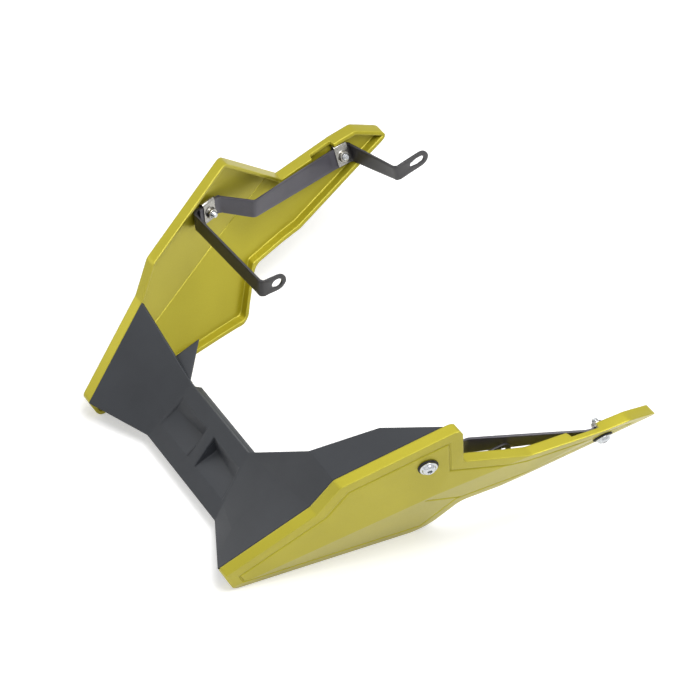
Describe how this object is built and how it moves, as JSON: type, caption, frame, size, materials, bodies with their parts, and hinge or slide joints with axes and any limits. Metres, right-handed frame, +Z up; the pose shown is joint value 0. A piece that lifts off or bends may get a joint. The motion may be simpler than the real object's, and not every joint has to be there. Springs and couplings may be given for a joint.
{
  "type": "engine chassis fairing",
  "caption": "Belly fairing for a motorbike engine: two swept side panels tied at the nose by a scooped centre panel, on flat steel brackets.",
  "frame": {"origin": "middle of the footprint, on the floor that the lower edges of both side panels rest on", "axes": "+X to the bike's left, -Y to the front where the centre panel is, +Z up"},
  "size_m": [0.4252, 0.3794, 0.1598],
  "materials": {
    "panel_paint": "satin metallic yellow-green on moulded plastic",
    "textured_plastic": "fine moulded grain, dark blue-grey",
    "strap_coat": "satin black powder coat",
    "clip_zinc": "bright zinc plate",
    "screw_steel": "polished stainless steel",
    "washer_rubber": "matte black",
    "joint_steel": "zinc plate"
  },
  "bodies": {
    "root": {"left_side_panel": "panel_paint", "right_side_panel": "panel_paint", "centre_panel": "textured_plastic", "left_front_bracket": "strap_coat", "right_front_bracket": "strap_coat", "right_rear_bracket": "strap_coat", "left_link_strap": "strap_coat", "right_link_strap": "strap_coat", "left_front_clip_nut": "clip_zinc", "left_front_screw": "screw_steel", "left_front_washer": "washer_rubber", "right_front_clip_nut": "clip_zinc", "right_front_screw": "screw_steel", "right_front_washer": "washer_rubber", "left_rear_clip_nut": "clip_zinc", "left_rear_screw": "screw_steel", "left_rear_washer": "washer_rubber", "right_rear_clip_nut": "clip_zinc", "right_rear_screw": "screw_steel", "right_rear_washer": "washer_rubber", "left_joint_screws": "joint_steel", "right_joint_screws": "joint_steel"}
  },
  "joints": []
}
